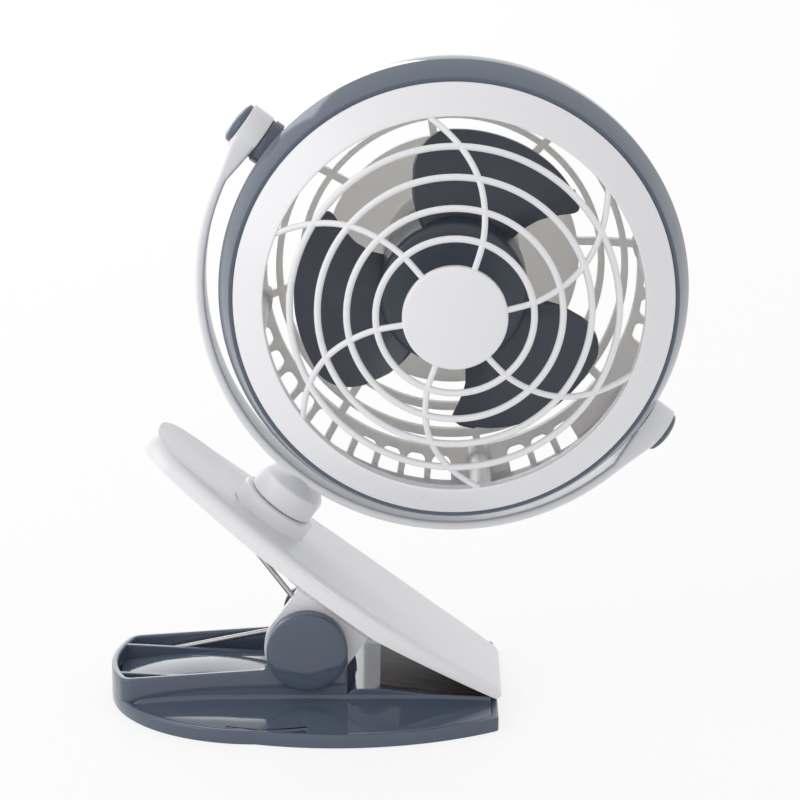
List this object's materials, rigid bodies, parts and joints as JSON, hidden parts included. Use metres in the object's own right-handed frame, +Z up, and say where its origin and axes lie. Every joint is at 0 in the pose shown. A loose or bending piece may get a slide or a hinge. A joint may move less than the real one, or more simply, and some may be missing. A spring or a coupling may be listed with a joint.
{
  "type": "clip fan",
  "caption": "Small clip fan: a domed round guard and impeller tilt in a half-ring yoke that swivels on a sprung clip with a broad foot.",
  "frame": {"origin": "on the resting plane under the clip, directly below the hinge axis and midway across the clip", "axes": "+Z up, +X along the clip towards the jaw's tip, -Y the way the fan blows"},
  "size_m": [0.1894, 0.1077, 0.2183],
  "materials": {
    "white_abs": "glossy moulded",
    "slate_abs": "glossy moulded",
    "blade_abs": "satin moulded",
    "dark_rubber": "fine grained",
    "fibre_washer": "pressed",
    "steel": "bright drawn",
    "motor_metal": "plated, satin",
    "bronze": "sintered",
    "copper_winding": "enamelled wire",
    "board_green": "solder mask",
    "black_plastic": "moulded"
  },
  "bodies": {
    "base": {"base_jaw": "slate_abs", "base_pad": "dark_rubber", "foot_pads": "dark_rubber", "hinge_pin": "steel", "spring_sleeve": "white_abs", "hinge_cap_near": "slate_abs", "hinge_cap_far": "slate_abs", "spring_coil": "steel"},
    "jaw": {"clip_jaw": "white_abs", "jaw_pad": "dark_rubber", "spring_upper_leg": "steel"},
    "yoke": {"yoke": "white_abs", "swivel_washer": "steel", "swivel_screw": "steel", "pivot_cap_left": "slate_abs", "pivot_cap_right": "slate_abs"},
    "head": {"front_grille": "white_abs", "middle_ring": "slate_abs", "rear_grille": "white_abs", "case_screws": "steel", "motor_can": "motor_metal", "motor_end_cap": "motor_metal", "motor_magnets": "motor_metal", "bearing_front": "bronze", "bearing_rear": "bronze", "circuit_board": "board_green", "switch_body": "black_plastic", "power_inlet": "black_plastic", "pivot_screw_left": "steel", "pivot_screw_right": "steel", "pivot_washer_left": "fibre_washer", "pivot_washer_right": "fibre_washer"},
    "rotor": {"motor_shaft": "steel", "armature": "copper_winding", "impeller": "blade_abs"},
    "button": {"switch_button": "slate_abs"}
  },
  "joints": [
    {"name": "clip_hinge", "type": "hinge", "parent": "base", "child": "jaw", "pos_m": [0, 0, 0.0224], "axis": [0, -1, 0], "range_deg": [0, 30], "stiffness_Nm_per_rad": 1.2, "springref_deg": -34.38},
    {"name": "yoke_swivel", "type": "hinge", "parent": "jaw", "child": "yoke", "pos_m": [0.04768, 0, 0.14264], "axis": [0.6, 0, 0.8], "continuous": true},
    {"name": "head_tilt", "type": "hinge", "parent": "yoke", "child": "head", "pos_m": [0.04768, 0, 0.14264], "axis": [0.8, 0, -0.6], "continuous": true},
    {"name": "fan_spin", "type": "hinge", "parent": "head", "child": "rotor", "pos_m": [0.04768, 0, 0.14264], "axis": [0, -1, 0], "continuous": true},
    {"name": "switch_press", "type": "slide", "parent": "head", "child": "button", "axis": [0, -1, 0], "range_m": [0, 0.0015], "stiffness_N_per_m": 400, "springref_m": -0.0005}
  ]
}
